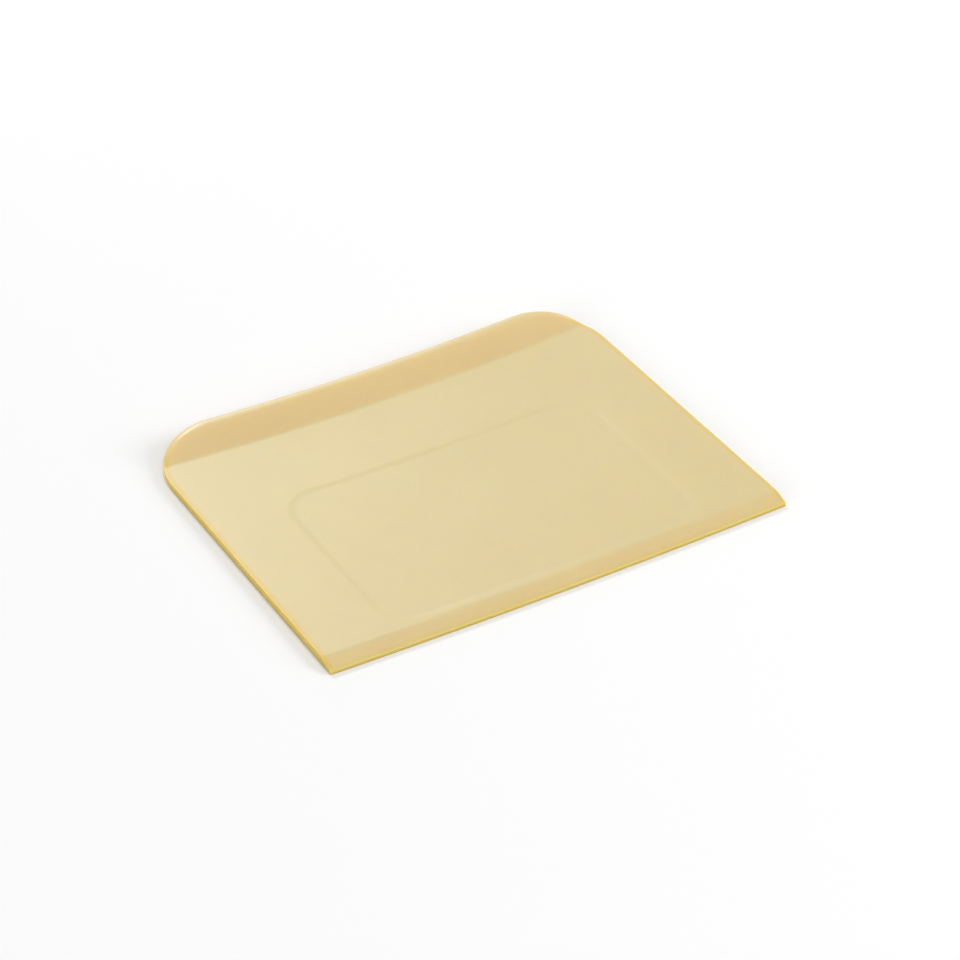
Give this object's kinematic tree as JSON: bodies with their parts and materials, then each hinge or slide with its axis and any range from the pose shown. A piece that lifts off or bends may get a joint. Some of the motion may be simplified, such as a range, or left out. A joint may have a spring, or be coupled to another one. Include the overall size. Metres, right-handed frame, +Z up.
{
  "type": "squeegee applicator",
  "caption": "Hand-held plastic card squeegee with a bevelled working edge, a raised grip lip on the opposite edge, round back corners and a shallow blank panel.",
  "frame": {"origin": "centre of the part's box in plan, on the flat underside that it rests on", "axes": "+X along the working edge, +Y from the working edge to the grip lip, +Z up out of the top face"},
  "size_m": [0.1016, 0.0804, 0.0047],
  "materials": {
    "blade_plastic": "translucent yellow, satin gloss as moulded"
  },
  "bodies": {
    "root": {"squeegee_blade": "blade_plastic"}
  },
  "joints": []
}
